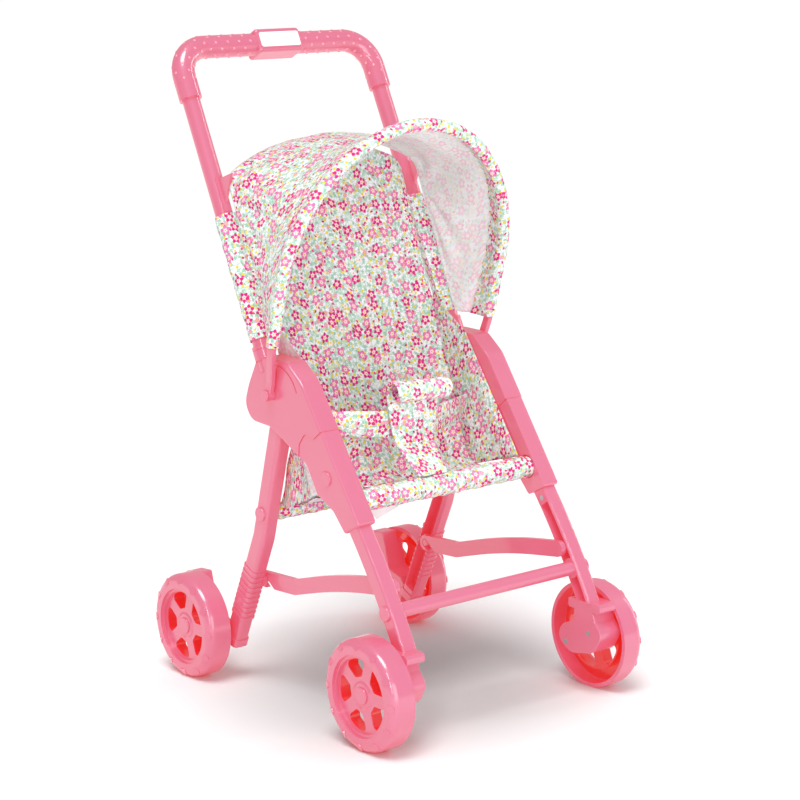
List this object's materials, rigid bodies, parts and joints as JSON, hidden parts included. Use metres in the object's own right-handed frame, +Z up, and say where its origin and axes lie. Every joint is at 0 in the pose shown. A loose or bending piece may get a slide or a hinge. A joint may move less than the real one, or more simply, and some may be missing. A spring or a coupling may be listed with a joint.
{
  "type": "doll stroller",
  "caption": "Folding doll stroller with a sling seat, tilting canopy on a bow, U-shaped push handle, spoked wheels and side stays that hold the rear legs open.",
  "frame": {"origin": "middle of the wheelbase at floor level, on the plane of symmetry", "axes": "+Z up, the seat faces -Y and the handle leans towards +Y, +X across"},
  "size_m": [0.269, 0.3504, 0.5588],
  "materials": {
    "pink_plastic": "satin moulded plastic",
    "floral_cloth": "woven cotton with a small floral print",
    "steel": "plain steel",
    "white_plastic": "smooth"
  },
  "bodies": {
    "frame": {"canopy_clips": "pink_plastic", "crossbar_caps": "pink_plastic", "crotch_strap": "floral_cloth", "frame_screws": "steel", "front_axles": "steel", "front_bracket_cover_left": "pink_plastic", "front_bracket_cover_right": "pink_plastic", "front_bracket_left": "pink_plastic", "front_bracket_right": "pink_plastic", "front_crossbar": "pink_plastic", "front_hem": "floral_cloth", "front_leg_left": "pink_plastic", "front_leg_right": "pink_plastic", "front_seat_bar": "pink_plastic", "grip_plate": "white_plastic", "handle_grip": "pink_plastic", "handle_tube_left": "pink_plastic", "handle_tube_right": "pink_plastic", "hinge_pins": "pink_plastic", "housing_inner_left": "pink_plastic", "housing_inner_right": "pink_plastic", "housing_outer_left": "pink_plastic", "housing_outer_right": "pink_plastic", "leg_sleeve_left": "pink_plastic", "leg_sleeve_right": "pink_plastic", "seat_back": "floral_cloth", "seat_pan": "floral_cloth", "seat_tail": "floral_cloth", "seat_wing_left": "floral_cloth", "seat_wing_right": "floral_cloth", "stay_pins": "pink_plastic", "tube_sleeve_left": "floral_cloth", "tube_sleeve_right": "floral_cloth", "waist_belt": "floral_cloth"},
    "rear_legs": {"rear_axles": "steel", "rear_bar_caps": "pink_plastic", "rear_bracket_left": "pink_plastic", "rear_bracket_right": "pink_plastic", "rear_hem": "floral_cloth", "rear_leg_left": "pink_plastic", "rear_leg_right": "pink_plastic", "rear_screws": "steel", "rear_seat_bar": "pink_plastic", "stay_pegs": "pink_plastic"},
    "canopy": {"canopy_bow": "pink_plastic", "canopy_hem": "floral_cloth", "canopy_cover": "floral_cloth"},
    "stay_left": {"side_stay_left": "pink_plastic"},
    "stay_right": {"side_stay_right": "pink_plastic"},
    "wheel_front_left": {"wheel_front_left": "pink_plastic", "hub_cap_front_left": "pink_plastic"},
    "wheel_front_right": {"wheel_front_right": "pink_plastic", "hub_cap_front_right": "pink_plastic"},
    "wheel_rear_left": {"wheel_rear_left": "pink_plastic", "hub_cap_rear_left": "pink_plastic"},
    "wheel_rear_right": {"wheel_rear_right": "pink_plastic", "hub_cap_rear_right": "pink_plastic"}
  },
  "joints": [
    {"name": "rear_leg_fold", "type": "hinge", "parent": "frame", "child": "rear_legs", "pos_m": [0, 0.01175, 0.2655], "axis": [-1, 0, 0], "range_deg": [0, 36], "deforming": ["seat_tail"]},
    {"name": "stay_left_swing", "type": "hinge", "parent": "frame", "child": "stay_left", "pos_m": [0, -0.11964, 0.124], "axis": [1, 0, 0], "range_deg": [0, 20.9]},
    {"name": "stay_right_swing", "type": "hinge", "parent": "frame", "child": "stay_right", "pos_m": [0, -0.11964, 0.124], "axis": [1, 0, 0], "range_deg": [0, 20.9]},
    {"name": "canopy_tilt", "type": "hinge", "parent": "frame", "child": "canopy", "pos_m": [0, 0.01175, 0.2655], "axis": [1, 0, 0], "range_deg": [-20, 6], "deforming": ["canopy_cover"]},
    {"name": "front_left_roll", "type": "hinge", "parent": "frame", "child": "wheel_front_left", "pos_m": [0, -0.12925, 0.046], "axis": [1, 0, 0], "continuous": true},
    {"name": "front_right_roll", "type": "hinge", "parent": "frame", "child": "wheel_front_right", "pos_m": [0, -0.12925, 0.046], "axis": [1, 0, 0], "continuous": true},
    {"name": "rear_left_roll", "type": "hinge", "parent": "rear_legs", "child": "wheel_rear_left", "pos_m": [0, 0.12925, 0.046], "axis": [1, 0, 0], "continuous": true},
    {"name": "rear_right_roll", "type": "hinge", "parent": "rear_legs", "child": "wheel_rear_right", "pos_m": [0, 0.12925, 0.046], "axis": [1, 0, 0], "continuous": true}
  ],
  "couplings": [
    {"joint": "stay_left_swing", "follows": "rear_leg_fold", "ratio": 0.58},
    {"joint": "stay_right_swing", "follows": "rear_leg_fold", "ratio": 0.58}
  ]
}
